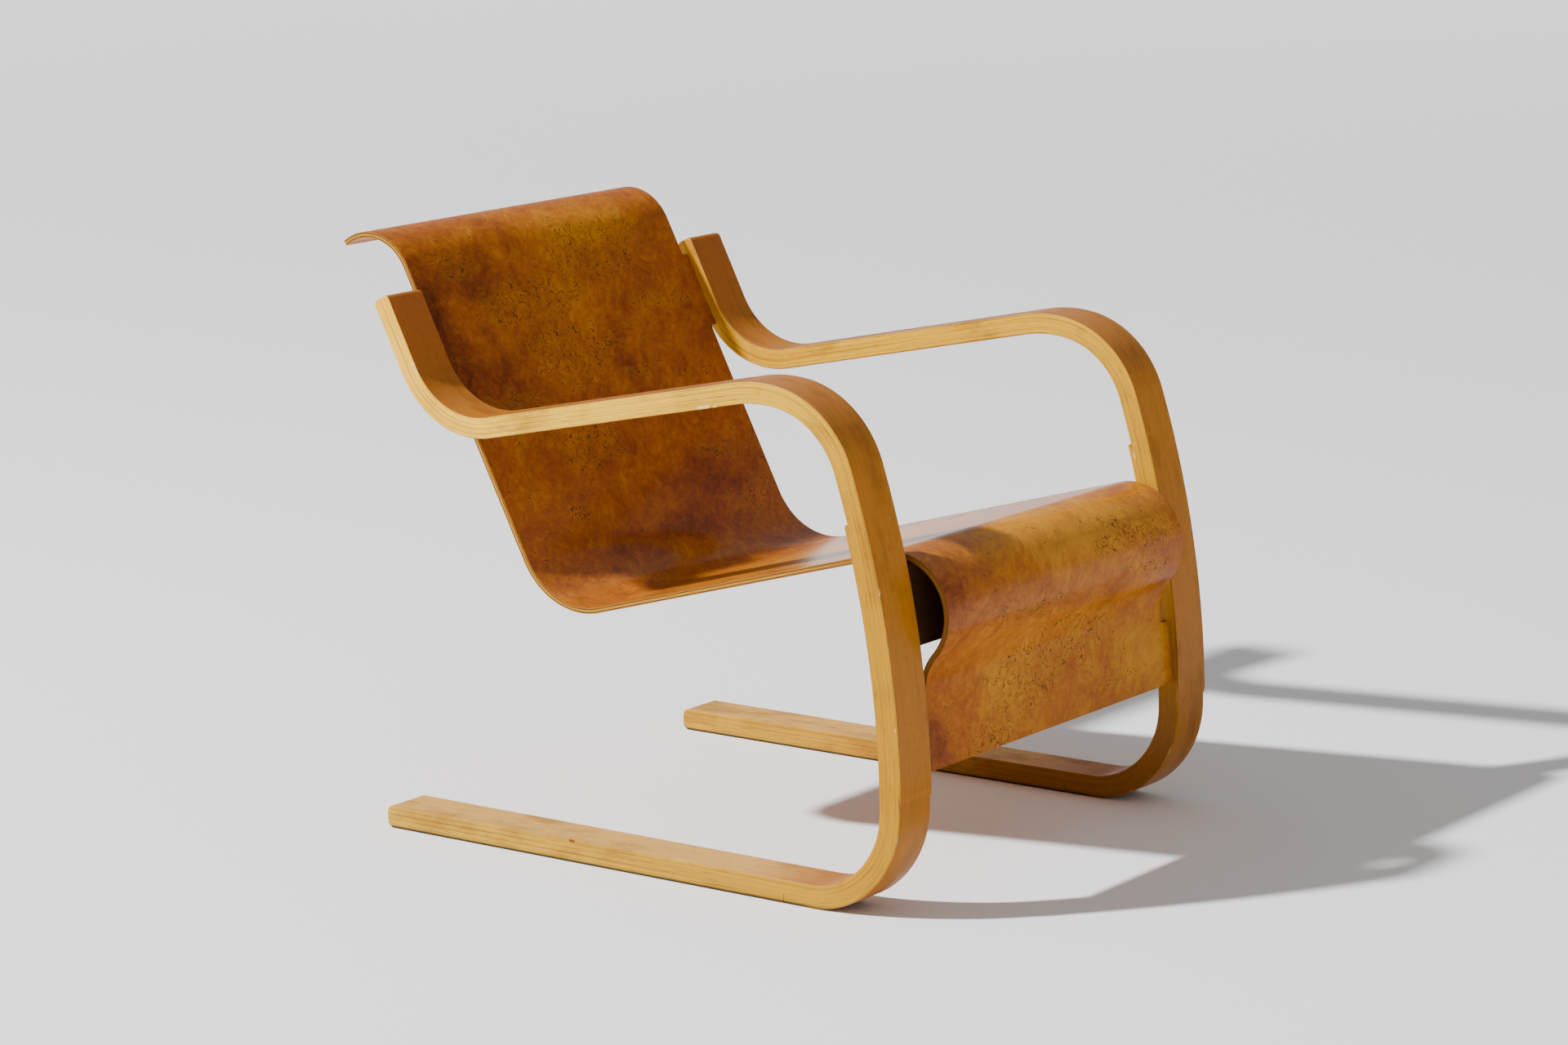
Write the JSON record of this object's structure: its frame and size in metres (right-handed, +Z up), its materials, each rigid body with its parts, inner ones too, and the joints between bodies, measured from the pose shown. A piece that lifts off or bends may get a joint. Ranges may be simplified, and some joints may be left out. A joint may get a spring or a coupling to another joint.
{
  "type": "cantilever lounge chair",
  "caption": "Lounge chair whose bent laminated wood side loops, open at the rear, carry one sheet of moulded plywood that forms front panel, seat, back and rolled top edge.",
  "frame": {"origin": "on the floor, under the middle of the chair's overall width and depth", "axes": "+X towards the sitter's left, +Y towards the back of the chair, +Z up"},
  "size_m": [0.6, 0.822, 0.6695],
  "materials": {
    "frame_face": "glossy varnish, aged to honey brown",
    "frame_lamella": "satin varnish on birch",
    "shell_veneer": "glossy varnish on burl veneer",
    "shell_core": "varnished plywood edge",
    "rail": "dark stain, satin",
    "dowel": "bare birch"
  },
  "bodies": {
    "root": {"left_face_lamella": "frame_face", "left_outer_ply": "frame_lamella", "left_outer_core_ply": "frame_lamella", "left_inner_core_ply": "frame_lamella", "left_inner_ply": "frame_lamella", "left_leg_lamella": "frame_lamella", "left_runner_sole": "frame_lamella", "right_face_lamella": "frame_face", "right_outer_ply": "frame_lamella", "right_outer_core_ply": "frame_lamella", "right_inner_core_ply": "frame_lamella", "right_inner_ply": "frame_lamella", "right_leg_lamella": "frame_lamella", "right_runner_sole": "frame_lamella", "shell_face_veneer": "shell_veneer", "shell_upper_cross_ply": "shell_core", "shell_core_ply": "shell_core", "shell_lower_cross_ply": "shell_core", "shell_back_veneer": "shell_veneer", "front_rail": "rail", "front_rail_dowels": "dowel"}
  },
  "joints": []
}
